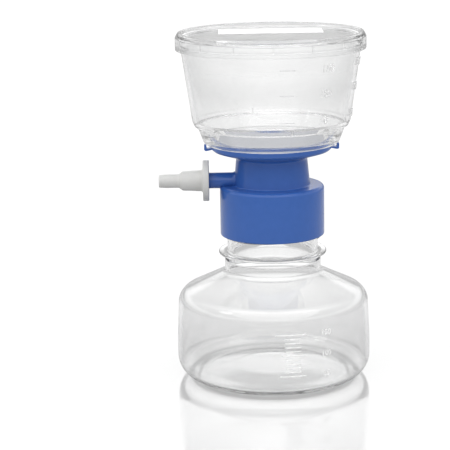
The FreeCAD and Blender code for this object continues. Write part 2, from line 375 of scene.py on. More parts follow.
# --------------------------------------------------------------------- shapes
class Shape:
    """A mesh under construction, in millimetres."""

    def __init__(self, name: str) -> None:
        """Start an empty mesh.

        Args:
            name: the finished piece's name.
        """
        self.name = name
        self.mesh = bpy.data.meshes.new(name)
        self.bm = bmesh.new()

    def join(self, part: bmesh.types.BMesh, place: Matrix | None = None) -> None:
        """Take a finished closed part into the mesh.

        Args:
            part: closed part in millimetres, freed afterwards.
            place: where to move it.
        """
        if place is not None:
            bmesh.ops.transform(part, matrix=place, verts=part.verts[:])
        bmesh.ops.recalc_face_normals(part, faces=part.faces[:])
        part.to_mesh(self.mesh)
        part.free()
        self.bm.from_mesh(self.mesh)

    def turned(
        self, corners: list[Corner], start_deg: float = 0.0, sweep_deg: float = 360.0,
        steps: int = 192, place: Matrix | None = None,
    ) -> None:
        """Add a solid of revolution about the vertical axis.

        Args:
            corners: outline as (radius, height) or (radius, height, rounding).
            start_deg: angle where the sweep starts.
            sweep_deg: angle swept.
            steps: segments in the sweep.
            place: where to move the solid.
        """
        part = outline(corners)
        full = sweep_deg >= 360.0
        if full:
            bmesh.ops.delete(part, geom=part.faces[:], context="FACES_ONLY")
            on_axis = [e for e in part.edges if all(abs(v.co.x) < ON_AXIS for v in e.verts)]
            bmesh.ops.delete(part, geom=on_axis, context="EDGES")
        sweep(part, start_deg, sweep_deg, steps, merge=full)
        bmesh.ops.remove_doubles(part, verts=part.verts[:], dist=WELD)
        self.join(part, place)

    def helix(
        self, corners: list[Corner], pitch: float, turns: float, start: float, run_out_deg: float = 40.0,
    ) -> None:
        """Add a screw thread ridge whose ends run out into the wall.

        Args:
            corners: ridge section as (radius, height), level about 0; the first corner is at its root.
            pitch: rise in one turn.
            turns: number of turns.
            start: height of the section's middle where the ridge starts.
            run_out_deg: angle over which each end fades.
        """
        part = outline(corners)
        sweep(part, 0.0, 360.0 * turns, int(turns * THREAD_STEPS), rise=pitch * turns)
        root = corners[0][0]
        middle = sum(c[1] for c in corners) / len(corners)
        for vert in part.verts:
            radius = math.hypot(vert.co.x, vert.co.y)
            turned_deg = (vert.co.z - middle) / pitch * 360
            near = min(turned_deg, turns * 360 - turned_deg)
            share = min(1.0, max(THREAD_TIP_SHARE, near / run_out_deg))
            wanted = root + (radius - root) * math.sin(share * math.pi / 2)
            vert.co.x *= wanted / radius
            vert.co.y *= wanted / radius
        self.join(part, Matrix.Translation((0.0, 0.0, start)))

    def fin(self, corners: list[Corner], width: float, angle_deg: float) -> None:
        """Add an upright fin that stands across the axis's radius.

        Args:
            corners: its side as (radius, height).
            width: its thickness.
            angle_deg: its direction about the axis.
        """
        part = outline(corners)
        grown = bmesh.ops.extrude_face_region(part, geom=part.faces[:])
        moved = [v for v in grown["geom"] if isinstance(v, bmesh.types.BMVert)]
        bmesh.ops.translate(part, vec=(0.0, width, 0.0), verts=moved)
        place = Matrix.Rotation(math.radians(angle_deg), 4, "Z") @ Matrix.Translation((0.0, -width / 2, 0.0))
        self.join(part, place)

    def block(self, low: Triple, high: Triple, edge: float, place: Matrix | None = None) -> None:
        """Add a box with rounded edges.

        Args:
            low: lowest corner.
            high: highest corner.
            edge: rounding of its edges.
            place: where to move it.
        """
        part = bmesh.new()
        size = [b - a for a, b in zip(low, high)]
        middle = Matrix.Translation([(a + b) / 2 for a, b in zip(low, high)])
        bmesh.ops.create_cube(part, size=1.0, matrix=middle @ Matrix.Diagonal((*size, 1.0)))
        bmesh.ops.bevel(
            part, geom=part.edges[:], offset=edge, offset_type="OFFSET", affect="EDGES", segments=2,
            profile=0.5, material=-1)
        self.join(part, place)

    def figures(
        self, text: str, height: float, depth: float, middle_deg: float, foot: float, wall: "Wall",
    ) -> None:
        """Add raised figures that follow a wall.

        Args:
            text: figures to raise.
            height: height of the figures.
            depth: how far they stand out.
            middle_deg: angle of their middle from the front.
            foot: height of their foot.
            wall: wall that they stand on.
        """
        bevel = depth / 5
        curve = bpy.data.curves.new(self.name + "_figures", "FONT")
        curve.body = text
        curve.size = height / DIGIT_SHARE
        curve.align_x = "CENTER"
        curve.extrude = depth / 2
        curve.bevel_depth = bevel
        curve.resolution_u = 3
        holder = placed(curve.name, curve)
        flat = bpy.data.meshes.new_from_object(holder)
        bpy.data.objects.remove(holder)
        part = bmesh.new()
        part.from_mesh(flat)
        bmesh.ops.remove_doubles(part, verts=part.verts[:], dist=WELD)
        for vert in part.verts:
            stand = wall.radius(foot + vert.co.y) + MARK_GAP + depth / 2 + bevel + vert.co.z
            angle = math.radians(FRONT_DEG + middle_deg) + vert.co.x / wall.radius(foot)
            vert.co = Vector((stand * math.cos(angle), stand * math.sin(angle), foot + vert.co.y))
        self.join(part)
        bpy.data.meshes.remove(flat)
        bpy.data.curves.remove(curve)

    def bar(self, wall: "Wall", height: float, ends_deg: Pair, width: float, depth: float) -> None:
        """Add a raised level line that follows a wall.

        Args:
            wall: wall that it stands on.
            height: level.
            ends_deg: angles from the front where it starts and ends.
            width: height of the line's section.
            depth: how far it stands out.
        """
        low, high = height - width / 2, height + width / 2
        foot, head = wall.radius(low) + MARK_GAP, wall.radius(high) + MARK_GAP
        slope, rounding = width * 0.3, width * 0.2
        self.turned([
            (foot, low),
            (foot + depth, low + slope, rounding),
            (head + depth, high - slope, rounding),
            (head, high),
        ], FRONT_DEG + ends_deg[0], ends_deg[1] - ends_deg[0], steps=10)

    def piece(self, body: Body, slot: Slot, material: Material, *nodes: str) -> None:
        """Finish the mesh as a piece that rides on a body.

        Args:
            body: body that it rides on.
            slot: the record's material slot; not used.
            material: its finish.
            *nodes: CAD nodes that it stands for.
        """
        bmesh.ops.scale(self.bm, vec=(MM, MM, MM), verts=self.bm.verts[:])
        for face in self.bm.faces:
            face.smooth = True
        self.bm.to_mesh(self.mesh)
        self.bm.free()
        self.mesh.set_sharp_from_angle(angle=math.radians(SHARP_DEG))
        self.mesh.materials.append(material)
        made = placed(self.name, self.mesh)
        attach(made, body.value)
        if nodes:
            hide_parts(*nodes)
        LOG.info("%s: %d faces on %s", self.name, len(self.mesh.polygons), body.value)


@dataclass(frozen=True)
class Wall:
    """Straight outer wall seen in section."""

    low_height: float
    low_radius: float
    high_height: float
    high_radius: float

    def radius(self, height: float) -> float:
        """Radius of the wall at a height, level below its lowest point."""
        share = max(0.0, (height - self.low_height) / (self.high_height - self.low_height))
        return self.low_radius + (self.high_radius - self.low_radius) * share


def outline(corners: list[Corner]) -> bmesh.types.BMesh:
    """Flat face in the XZ plane with some corners rounded.

    Args:
        corners: (radius, height) or (radius, height, rounding), in order.

    Returns:
        The face.
    """
    part = bmesh.new()
    verts = [part.verts.new((c[0], 0.0, c[1])) for c in corners]
    places = [v.co.copy() for v in verts]
    part.faces.new(verts)
    for i, corner in enumerate(corners):
        if len(corner) < 3:
            continue
        before = places[i - 1] - places[i]
        after = places[(i + 1) % len(corners)] - places[i]
        half_angle = before.angle(after) / 2
        turn_deg = 180.0 - math.degrees(half_angle * 2)
        segments = max(2, math.ceil(turn_deg / ROUNDING_STEP_DEG))
        bmesh.ops.bevel(
            part, geom=[verts[i]], offset=corner[2] / math.tan(half_angle), offset_type="OFFSET",
            affect="VERTICES", segments=segments, profile=0.5, material=-1)
    return part


def sweep(
    part: bmesh.types.BMesh, start_deg: float, sweep_deg: float, steps: int, rise: float = 0.0,
    merge: bool = False,
) -> None:
    """Sweep an outline round the vertical axis.

    Args:
        part: the outline, which becomes the swept shape.
        start_deg: angle where the sweep starts.
        sweep_deg: angle swept.
        steps: segments in the sweep.
        rise: how far it climbs.
        merge: whether its end joins its start.
    """
    bmesh.ops.rotate(
        part, verts=part.verts[:], cent=(0, 0, 0),
        matrix=Matrix.Rotation(math.radians(start_deg), 3, "Z"))
    bmesh.ops.spin(
        part, geom=part.verts[:] + part.edges[:] + part.faces[:], cent=(0, 0, 0), axis=(0, 0, 1),
        dvec=(0, 0, rise / steps), angle=math.radians(sweep_deg), steps=steps, use_merge=merge)


def about_axis(turn_deg: float) -> Matrix:
    """Placement turned about the vertical axis, from the front."""
    return Matrix.Rotation(math.radians(FRONT_DEG + turn_deg), 4, "Z")


def on_side_arm(axis_height: float) -> Matrix:
    """Placement that lays a turned part along the side arm, its height becoming the reach along -X."""
    return Matrix.Translation((0.0, 0.0, axis_height)) @ Matrix.Rotation(math.radians(-90), 4, "Y")


@dataclass(frozen=True)
class Levels:
    """Heights, and reaches along the side arm, in millimetres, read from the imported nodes."""

    lip: float
    collar_bottom: float
    collar_top: float
    rim: float
    mouth: float
    lid_bottom: float
    lid_top: float
    arm: float
    adaptor_start: float
    adaptor_end: float

    @staticmethod
    def read() -> "Levels":
        """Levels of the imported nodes."""
        names = ("receiver", "filter_base", "upper_chamber", "lid", "hose_adaptor")
        box = {name: [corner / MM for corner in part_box(name)] for name in names}
        low, high = box["hose_adaptor"]
        return Levels(
            lip=box["receiver"][1].z,
            collar_bottom=box["filter_base"][0].z,
            collar_top=(low.z + high.z) / 2 - ARM_RISE,
            rim=box["filter_base"][1].z,
            mouth=box["upper_chamber"][1].z,
            lid_bottom=box["lid"][0].z,
            lid_top=box["lid"][1].z,
            arm=(low.z + high.z) / 2,
            adaptor_start=-high.x,
            adaptor_end=-low.x,
        )


# --------------------------------------------------------------- sub-assemblies
@dataclass
class SubAssembly(ABC):
    """Pieces that are made together."""

    levels: Levels

    @abstractmethod
    def build(self) -> None:
        """Make the pieces, in order."""


@dataclass
class ReceiverBottle(SubAssembly):
    """Squat clear bottle: hollowed base, rounded heel, sloping shoulder, ringed and threaded neck."""

    plastic: Material
    marks: Material
    radius: float = 43.0
    belly_height: float = 16.0
    top_radius: float = 42.1
    wall: float = 1.5
    heel: float = 9.2
    inner_heel: float = 5.5
    foot_inner: float = 31.0
    foot_rounding: float = 16.0
    belly_rounding: float = 100.0
    push_up: float = 2.4
    push_up_run: float = 15.0
    push_up_rounding: float = 25.0
    shoulder_top: float = 47.6
    shoulder_slope_deg: float = 25.5
    shoulder_rounding: float = 6.5
    inner_shoulder_rounding: float = 5.0
    neck: float = 21.3
    neck_rounding: float = 2.0
    inner_neck_rounding: float = 3.5
    edge: float = 0.4
    ring: float = 23.8
    ring_bottom: float = 55.5
    ring_top: float = 56.6
    finish: float = 20.0
    finish_wall: float = 1.6
    throat_run: float = 3.0
    thread_gap: float = 0.03
    thread_height: float = 1.0
    thread_pitch: float = 4.0
    thread_turns: float = 3.75
    thread_start: float = 61.2
    line_count: int = 11
    line_pitch: float = 1.808
    first_line: float = 10.66
    line_width: float = 0.55
    line_depth: float = 0.22
    short_line_deg: Pair = (5.0, 14.0)
    long_lines: tuple[tuple[int, str, Pair], ...] = (
        (0, "50", (2.0, 17.0)), (5, "100", (3.0, 17.0)), (10, "150", (-0.5, 17.0)))
    figures_deg: float = 30.0
    figure_height: float = 2.3
    figure_depth: float = 0.2
    figure_drop: float = 1.2

    def build(self) -> None:
        """Make the bottle, its thread and its graduations."""
        self.bottle()
        self.thread()
        self.graduations()

    def side(self) -> Wall:
        """Outer wall from heel to shoulder."""
        return Wall(self.belly_height, self.radius, self.shoulder_corner(), self.top_radius)

    def shoulder_corner(self) -> float:
        """Height where the wall meets the shoulder's slope."""
        slope = math.tan(math.radians(self.shoulder_slope_deg))
        return self.shoulder_top - (self.top_radius - self.neck) * slope

    def bottle(self) -> None:
        """The bottle's one wall."""
        slope = math.tan(math.radians(self.shoulder_slope_deg))
        under_shoulder = self.shoulder_top - self.wall / math.cos(math.radians(self.shoulder_slope_deg))
        corner = self.shoulder_corner()
        inside = self.radius - self.wall
        inner_neck = self.neck - self.wall
        inner_top = self.top_radius - self.wall
        throat = self.finish - self.finish_wall
        push_up_edge = self.foot_inner - self.push_up_run
        lip = self.levels.lip
        shape = Shape("receiver_bottle")
        shape.turned([
            (0.0, self.push_up),
            (push_up_edge, self.push_up, self.push_up_rounding),
            (self.foot_inner, 0.0, self.foot_rounding),
            (self.radius, 0.0, self.heel),
            (self.radius, self.belly_height, self.belly_rounding),
            (self.top_radius, corner, self.shoulder_rounding),
            (self.neck, self.shoulder_top, self.neck_rounding),
            (self.neck, self.ring_bottom, self.edge),
            (self.ring, self.ring_bottom, self.edge),
            (self.ring, self.ring_top, self.edge),
            (self.finish, self.ring_top, self.edge),
            (self.finish, lip, self.edge),
            (throat, lip, self.edge),
            (throat, self.ring_bottom, self.neck_rounding),
            (inner_neck, self.ring_bottom - self.throat_run, self.neck_rounding),
            (inner_neck, under_shoulder + (self.neck - inner_neck) * slope, self.inner_neck_rounding),
            (inner_top, under_shoulder - (inner_top - self.neck) * slope, self.inner_shoulder_rounding),
            (inside, self.belly_height, self.belly_rounding),
            (inside, self.wall, self.inner_heel),
            (self.foot_inner, self.wall, self.foot_rounding),
            (push_up_edge, self.push_up + self.wall, self.push_up_rounding + self.wall),
            (0.0, self.push_up + self.wall),
        ])
        shape.piece(Body.RECEIVER, Slot.CLEAR, self.plastic, "receiver")

    def thread(self) -> None:
        """The neck's screw thread."""
        root = self.finish + self.thread_gap
        crest = root + self.thread_height
        shape = Shape("receiver_thread")
        shape.helix([
            (root, -THREAD_ROOT_HALF), (crest, -THREAD_CREST_HALF), (crest, THREAD_CREST_HALF),
            (root, THREAD_ROOT_HALF),
        ], self.thread_pitch, self.thread_turns, self.thread_start)
        shape.piece(Body.RECEIVER, Slot.CLEAR, self.plastic)

    def graduations(self) -> None:
        """Raised level lines and figures."""
        wall = self.side()
        shape = Shape("receiver_graduations")
        heights = [self.first_line + self.line_pitch * i for i in range(self.line_count)]
        long_ends = {i: ends_deg for i, _, ends_deg in self.long_lines}
        for i, height in enumerate(heights):
            ends_deg = long_ends.get(i, self.short_line_deg)
            shape.bar(wall, height, ends_deg, self.line_width, self.line_depth)
        for i, text, _ in self.long_lines:
            shape.figures(
                text, self.figure_height, self.figure_depth, self.figures_deg,
                heights[i] - self.figure_drop, wall)
        shape.piece(Body.RECEIVER, Slot.CLEAR, self.marks)


@dataclass
class FilterBase(SubAssembly):
    """Blue moulding: threaded collar, hub, membrane dish, drip spout, hooks and side arm."""

    plastic: Material
    receiver: ReceiverBottle
    collar: float = 23.0
    collar_bore: float = 21.5
    ceiling_thickness: float = 1.8
    edge: float = 1.7
    hub_base: float = 16.8
    hub_top: float = 15.6
    hub_height: float = 12.4
    hub_wall: float = 1.6
    dish_rim: float = 26.4
    dish_corner: float = 3.1
    dish_corner_inset: float = 0.9
    dish_band: float = 2.0
    pocket: float = 25.1
    pocket_depth: float = 0.3
    well: float = 23.4
    drain: float = 1.6
    well_fall: float = 2.5
    rib_count: int = 16
    rib_width: float = 1.0
    rib_foot: float = 1.2
    rib_start: float = 1.5
    rib_overlap: float = 0.4
    spout: float = 4.6
    spout_bore: float = 3.0
    spout_tip: float = 70.8
    arm: float = 3.5
    arm_flare: float = 0.9
    arm_flare_run: float = 1.6
    arm_bore: float = 1.9
    arm_inset: float = 1.2
    arm_overlap: float = 0.3
    arm_shoulder: float = 27.7
    spigot_root: float = 3.05
    spigot_tip: float = 2.85
    spigot_end: float = 38.2
    hook_reach: float = 29.6
    hook_inset: float = 1.2
    hook_drop: float = 2.9
    hook_rise: float = 0.6
    hook_floor: float = 0.7
    hook_floor_fall: float = 0.2
    hook_below_rim: float = 0.15
    hook_tip: float = 1.0
    hook_half_deg: float = 3.5
    thread_gap: float = 0.1
    thread_height: float = 0.95
    thread_turns: float = 3.5
    thread_lead: float = 1.5

    def build(self) -> None:
        """Make the moulding and its thread."""
        self.moulding()
        self.thread()

    def moulding(self) -> None:
        """The whole moulding."""
        top = self.levels.collar_top
        ceiling = top - self.ceiling_thickness
        dish = top + self.hub_height
        rim = self.levels.rim
        seat = rim - self.pocket_depth
        shape = Shape("filter_base_moulding")
        shape.turned([
            (self.spout_bore, self.spout_tip, 0.2),
            (self.spout, self.spout_tip, 0.5),
            (self.spout, dish, 1.0),
            (self.hub_top - self.hub_wall, dish, 1.0),
            (self.hub_base - self.hub_wall, ceiling, 0.4),
            (self.collar_bore, ceiling, 0.4),
            (self.collar_bore, self.levels.collar_bottom, 0.4),
            (self.collar, self.levels.collar_bottom, 0.5),
            (self.collar, top, self.edge),
            (self.hub_base, top, 0.7),
            (self.hub_top, dish, 1.5),
            (self.dish_rim - self.dish_corner_inset, dish + self.dish_corner, 1.5),
            (self.dish_rim, rim - self.dish_band, 0.6),
            (self.dish_rim, rim, 0.3),
            (self.pocket, rim, 0.15),
            (self.pocket, seat),
            (self.well, seat, 0.3),
            (self.well, dish + self.drain + self.well_fall, 0.8),
            (self.spout_bore, dish + self.drain, 0.5),
        ])
        self.add_ribs(shape, dish, seat)
        self.add_hooks(shape, rim)
        self.add_arm(shape)
        shape.piece(Body.HEAD, Slot.BLUE, self.plastic, "filter_base")

    def add_ribs(self, shape: Shape, dish: float, seat: float) -> None:
        """Ribs that hold the membrane flat over the drain.

        Args:
            shape: moulding being built.
            dish: height of the dish's underside.
            seat: height of the membrane's underside.
        """
        fall = self.well_fall / (self.well - self.spout_bore)
        last = self.well + self.rib_overlap
        foot = dish + self.rib_foot
        for i in range(self.rib_count):
            first = self.spout + self.rib_start if i % 2 == 0 else self.well / 2
            shape.fin([
                (first, foot + fall * (first - self.spout_bore)),
                (last, foot + self.well_fall),
                (last, seat),
                (first, seat, 0.3),
            ], self.rib_width, 360.0 / self.rib_count * i)

    def add_hooks(self, shape: Shape, rim: float) -> None:
        """Two upturned hooks, over the side arm and opposite it.

        Args:
            shape: moulding being built.
            rim: height of the dish's rim.
        """
        low, top = rim - self.hook_drop, rim - self.hook_below_rim
        inner = self.hook_reach - self.hook_tip
        root = self.dish_rim - self.hook_inset
        for middle_deg in (0.0, 180.0):
            shape.turned([
                (root, low + self.hook_rise),
                (self.hook_reach - self.hook_inset, low, 0.6),
                (self.hook_reach, low, 0.7),
                (self.hook_reach, top, 0.45),
                (inner, top, 0.45),
                (inner, low + self.hook_floor + self.hook_floor_fall, 0.4),
                (root, low + self.hook_rise + self.hook_floor),
            ], middle_deg - self.hook_half_deg, 2 * self.hook_half_deg, steps=8)

    def add_arm(self, shape: Shape) -> None:
        """Side arm with its spigot and bore.

        Args:
            shape: moulding being built.
        """
        root = self.hub_base - self.arm_inset
        shape.turned([
            (self.arm_bore, root - self.arm_overlap),
            (self.arm + self.arm_flare, root - self.arm_overlap),
            (self.arm, root + self.arm_flare_run, 2.0),
            (self.arm, self.arm_shoulder, 0.15),
            (self.spigot_root, self.arm_shoulder),
            (self.spigot_tip, self.spigot_end, 0.3),
            (self.arm_bore, self.spigot_end, 0.2),
        ], steps=96, place=on_side_arm(self.levels.arm))

    def thread(self) -> None:
        """The collar's screw thread, half a pitch from the neck's."""
        pitch = self.receiver.thread_pitch
        root = self.collar_bore + self.thread_gap
        crest = root - self.thread_height
        shape = Shape("collar_thread")
        shape.helix([
            (root, -THREAD_ROOT_HALF), (root, THREAD_ROOT_HALF), (crest, THREAD_CREST_HALF),
            (crest, -THREAD_CREST_HALF),
        ], pitch, self.thread_turns, self.receiver.thread_start + pitch * self.thread_lead)
        shape.piece(Body.HEAD, Slot.BLUE, self.plastic)


@dataclass
class HoseAdaptor(SubAssembly):
    """Off-white nozzle: finger flange, tapered barrel, cone and hose nose."""

    plastic: Material
    socket_mouth: float = 3.25
    socket_tip: float = 3.05
    socket_end: float = 38.4
    flange: float = 9.0
    flange_thickness: float = 2.7
    barrel_root: float = 4.7
    barrel_tip: float = 4.25
    barrel_end: float = 39.3
    cone_end: float = 41.0
    nose: float = 3.0
    nose_straight_end: float = 46.6
    nose_tip: float = 2.75
    bore: float = 1.5

    def build(self) -> None:
        """Make the nozzle."""
        start, end = self.levels.adaptor_start, self.levels.adaptor_end
        shape = Shape("hose_adaptor_nozzle")
        shape.turned([
            (self.socket_mouth, start, 0.15),
            (self.flange, start, 0.4),
            (self.flange, start + self.flange_thickness, 0.4),
            (self.barrel_root, start + self.flange_thickness, 1.0),
            (self.barrel_tip, self.barrel_end, 0.5),
            (self.nose, self.cone_end, 0.5),
            (self.nose, self.nose_straight_end, 6.0),
            (self.nose_tip, end, 0.4),
            (self.bore, end, 0.2),
            (self.bore, self.socket_end, 0.3),
            (self.socket_tip, self.socket_end, 0.3),
        ], steps=128, place=on_side_arm(self.levels.arm))
        shape.piece(Body.ADAPTOR, Slot.WHITE, self.plastic, "hose_adaptor")


@dataclass
class UpperChamber(SubAssembly):
    """Clear tapered cup: membrane seat, small bowl, step, tall wall and beaded mouth."""

    plastic: Material
    marks: Material
    bottom: float = 29.4
    bottom_rounding: float = 2.6
    bowl_wall: float = 1.8
    step: float = 34.6
    step_ledge: float = 0.9
    step_width: float = 2.3
    step_height: float = 2.7
    ledge_height: float = 0.5
    inner_step_out: float = 0.05
    inner_step_in: float = 0.8
    inner_step_half: float = 0.4
    bowl_height: float = 10.6
    wall: float = 1.5
    mouth: float = 39.2
    bead: float = 39.7
    bead_height: float = 3.4
    bead_slope: float = 0.5
    rim_width: float = 1.45
    seat: float = 23.6
    seat_thickness: float = 2.6
    rest_gap: float = 0.04
    step_rib: float = 0.6
    step_rib_foot: float = 0.7
    step_rib_stand: float = 0.25
    step_rib_drop: float = 0.3
    step_ribs_deg: Pair = (13.0, 193.0)
    gate_deg: float = 135.0
    gate_radii: Pair = (0.7, 0.55)
    gate_height: float = 0.4
    gate_out: float = 1.6
    lines: tuple[tuple[float, str], ...] = ((140.8, "150"), (130.0, "100"), (118.4, "50"))
    line_deg: Pair = (4.0, 14.0)
    line_width: float = 0.5
    line_depth: float = 0.15
    figure_height: float = 3.2
    figure_turns_and_depths: tuple[Pair, ...] = ((37.0, 0.18), (78.0, 0.35))

    def build(self) -> None:
        """Make the cup, its small ribs and its graduations."""
        self.cup()
        self.step_ribs()
        self.graduations()

    def side(self) -> Wall:
        """Outer wall from the step to the bead."""
        foot, head = self.levels.rim + self.bowl_height, self.levels.mouth - self.bead_height
        return Wall(foot, self.step, head, self.mouth)

    def cup(self) -> None:
        """The cup's one wall."""
        rim = self.levels.rim + self.rest_gap
        top = self.levels.mouth - self.rest_gap
        step_top = self.levels.rim + self.bowl_height
        step_bottom = step_top - self.step_height
        bead_bottom = self.levels.mouth - self.bead_height
        inner_mouth = self.bead - self.rim_width
        inner_step = self.step - self.wall
        bowl_slope = (self.step - self.step_width - self.bottom) / (step_bottom - self.levels.rim)
        floor = self.bottom + bowl_slope * self.seat_thickness - self.bowl_wall
        wall_slope = (self.mouth - self.step) / (bead_bottom - step_top)
        seat_top = self.levels.rim + self.seat_thickness
        shape = Shape("upper_chamber_cup")
        shape.turned([
            (self.bottom, rim, self.bottom_rounding),
            (self.step - self.step_width, step_bottom, 0.8),
            (self.step - self.step_ledge, step_bottom + self.ledge_height, 0.6),
            (self.step, step_top, 2.0),
            (self.mouth, bead_bottom, 0.5),
            (self.bead, bead_bottom + self.bead_slope, 0.3),
            (self.bead, top, 0.5),
            (inner_mouth, top, 0.3),
            (inner_mouth - wall_slope * self.bead_height, bead_bottom, 2.0),
            (inner_step + self.inner_step_out, step_top + self.inner_step_half, 0.5),
            (inner_step - self.inner_step_in, step_top - self.inner_step_half, 0.5),
            (floor, seat_top, 0.8),
            (self.seat + self.seat_thickness, seat_top, 0.3),
            (self.seat, rim),
        ])
        shape.piece(Body.HEAD, Slot.CLEAR, self.plastic, "upper_chamber")

    def step_ribs(self) -> None:
        """Two small upright ribs on the step, opposite each other, and the gate mark in the bowl."""
        step_top = self.levels.rim + self.bowl_height
        shape = Shape("chamber_step_ribs")
        half = self.step_rib / 2
        low, high = step_top - self.step_height + self.step_rib_foot, step_top - self.step_rib_drop
        for turn_deg in self.step_ribs_deg:
            shape.block(
                (self.step - self.step_ledge, -half, low),
                (self.step + self.step_rib_stand, half, high), RIB_EDGE, about_axis(turn_deg))
        mark = bmesh.new()
        foot, head = self.gate_radii
        bmesh.ops.create_cone(
            mark, cap_ends=True, segments=24, radius1=foot, radius2=head, depth=self.gate_height)
        reach = self.seat + self.seat_thickness + self.gate_out
        height = self.levels.rim + self.seat_thickness + self.gate_height / 2 + MARK_GAP
        shape.join(mark, about_axis(self.gate_deg) @ Matrix.Translation((reach, 0.0, height)))
        shape.piece(Body.HEAD, Slot.CLEAR, self.plastic)

    def graduations(self) -> None:
        """Raised level lines and figures."""
        wall = self.side()
        shape = Shape("chamber_graduations")
        for height, text in self.lines:
            shape.bar(wall, height, self.line_deg, self.line_width, self.line_depth)
            foot = height - self.figure_height / 2
            for turn_deg, depth in self.figure_turns_and_depths:
                shape.figures(text, self.figure_height, depth, turn_deg, foot, wall)
        shape.piece(Body.HEAD, Slot.CLEAR, self.marks)


@dataclass
class Lid(SubAssembly):
    """Clear shallow lid: recessed panel, plug step, stacking rim and ribbed skirt."""

    plastic: Material
    frosted: Material
    radius: float = 41.4
    inner: float = 40.3
    plug: float = 37.95
    panel_thickness: float = 1.4
    plug_depth: float = 0.8
    flare: float = 1.2
    rim_width: float = 1.3
    rim_lean: float = 0.4
    shoulder_rise: float = 0.2
    rib_count: int = 15
    rib_tip: float = 40.0
    rib_width: float = 0.7
    rib_height: float = 3.4
    rib_below_mouth: float = 0.1
    label_low: Pair = (-22.5, 6.0)
    label_high: Pair = (23.5, 25.0)
    label_thickness: float = 0.12
    label_edge: float = 0.05

    def build(self) -> None:
        """Make the cover, its ribs and its label panel."""
        self.cover()
        self.ribs()
        self.label_panel()

    def cover(self) -> None:
        """The lid's one wall."""
        low, mouth, top = self.levels.lid_bottom, self.levels.mouth, self.levels.lid_top
        panel = mouth - self.plug_depth
        rim = self.radius - self.flare
        shape = Shape("lid_cover")
        shape.turned([
            (0.0, panel),
            (self.plug, panel, 0.3),
            (self.plug, mouth),
            (self.inner, mouth, 0.2),
            (self.inner, low, 0.3),
            (self.radius, low, 0.6),
            (self.radius, mouth + self.shoulder_rise, 1.0),
            (rim, top, 0.6),
            (rim - self.rim_width, top, 0.5),
            (rim - self.rim_width - self.rim_lean, panel + self.panel_thickness, 0.5),
            (0.0, panel + self.panel_thickness),
        ])
        shape.piece(Body.LID, Slot.CLEAR, self.plastic, "lid")

    def ribs(self) -> None:
        """Small centring ribs inside the skirt."""
        shape = Shape("lid_skirt_ribs")
        low, high = self.levels.mouth - self.rib_height, self.levels.mouth - self.rib_below_mouth
        for i in range(self.rib_count):
            shape.block(
                (self.rib_tip, -self.rib_width / 2, low),
                (self.inner - MARK_GAP, self.rib_width / 2, high),
                RIB_EDGE, about_axis(360.0 * i / self.rib_count))
        shape.piece(Body.LID, Slot.CLEAR, self.plastic)

    def label_panel(self) -> None:
        """Bare frosted panel on the lid's top."""
        low = self.levels.mouth - self.plug_depth + self.panel_thickness + MARK_GAP
        shape = Shape("lid_label_panel")
        shape.block(
            (*self.label_low, low), (*self.label_high, low + self.label_thickness), self.label_edge)
        shape.piece(Body.LID, Slot.CLEAR, self.frosted)


# --------------------------------------------------------------------- studio
@dataclass(frozen=True)
class FloorGloss(Finish):
    """Pale glossy floor that glows a little, so that the camera sees it white with its shadows.

    The glow goes by the distance from the object in metres: `lifts` for the camera, a second set of stops
    for rays through clear walls, and `lift_around` for light that the floor gives back to the object. The
    through-wall glow drops to nothing 4 to 8 cm out, a painted shadow behind the object that shows only
    through its clear walls, and it is lower again from 25 to 50 cm than at 15 cm, more painted shade seen
    through the walls.
    """

    level: float = 0.38
    ior: float = 3.2
    roughness: float = 0.05
    lifts: Stops = (
        (0.0, 0.21), (0.1, 0.21), (0.25, 0.26), (0.5, 0.26), (0.85, 0.45), (1.1, 0.5), (1.9, 0.55))
    # Rays through clear walls: no glow 4 to 8 cm out, a painted shadow ring round the object, and a smaller
    # painted dip from 25 cm.
    through_lifts_painted_shadow: Stops = (
        (0.0, 0.2), (0.037, 0.2), (0.047, 0.0), (0.08, 0.0), (0.15, 0.26), (0.25, 0.16), (0.5, 0.17),
        (0.85, 0.28), (1.1, 0.38), (1.9, 0.43))
    lift_around: float = 0.2

    def shader(self, n: Nodes) -> Socket:
        """Build the look's shader, as `Finish.shader` says."""
        surface = n.add("ShaderNodeBsdfPrincipled", {
            "Base Color": (*grey(self.level), 1.0), "IOR": self.ior, "Roughness": self.roughness,
            "Emission Color": (*grey(1.0), 1.0), "Emission Strength": self.lift(n)})
        return surface.outputs["BSDF"]

    def lift(self, n: Nodes) -> Socket:
        """Strength of the floor's own glow.

        Args:
            n: tree being built.

        Returns:
            The strength's socket.
        """
        place = n.add("ShaderNodeTexCoord").outputs["Object"]
        distance = n.add("ShaderNodeVectorMath", {0: place}, operation="LENGTH").outputs["Value"]
        reach = self.lifts[-1][0]
        share = n.maths("DIVIDE", distance, reach)
        rays = n.add("ShaderNodeLightPath").outputs
        strength = n.maths("MULTIPLY", rays["Is Diffuse Ray"], self.lift_around)
        # The through-wall stops carry the painted shadow ring near the object.
        for stops, ray in ((self.lifts, "Is Camera Ray"), (self.through_lifts_painted_shadow, "Is Transmission Ray")):
            level = levelled(n, share, tuple((radius / reach, level) for radius, level in stops))
            strength = n.maths("MULTIPLY_ADD", level, rays[ray], strength)
        return strength


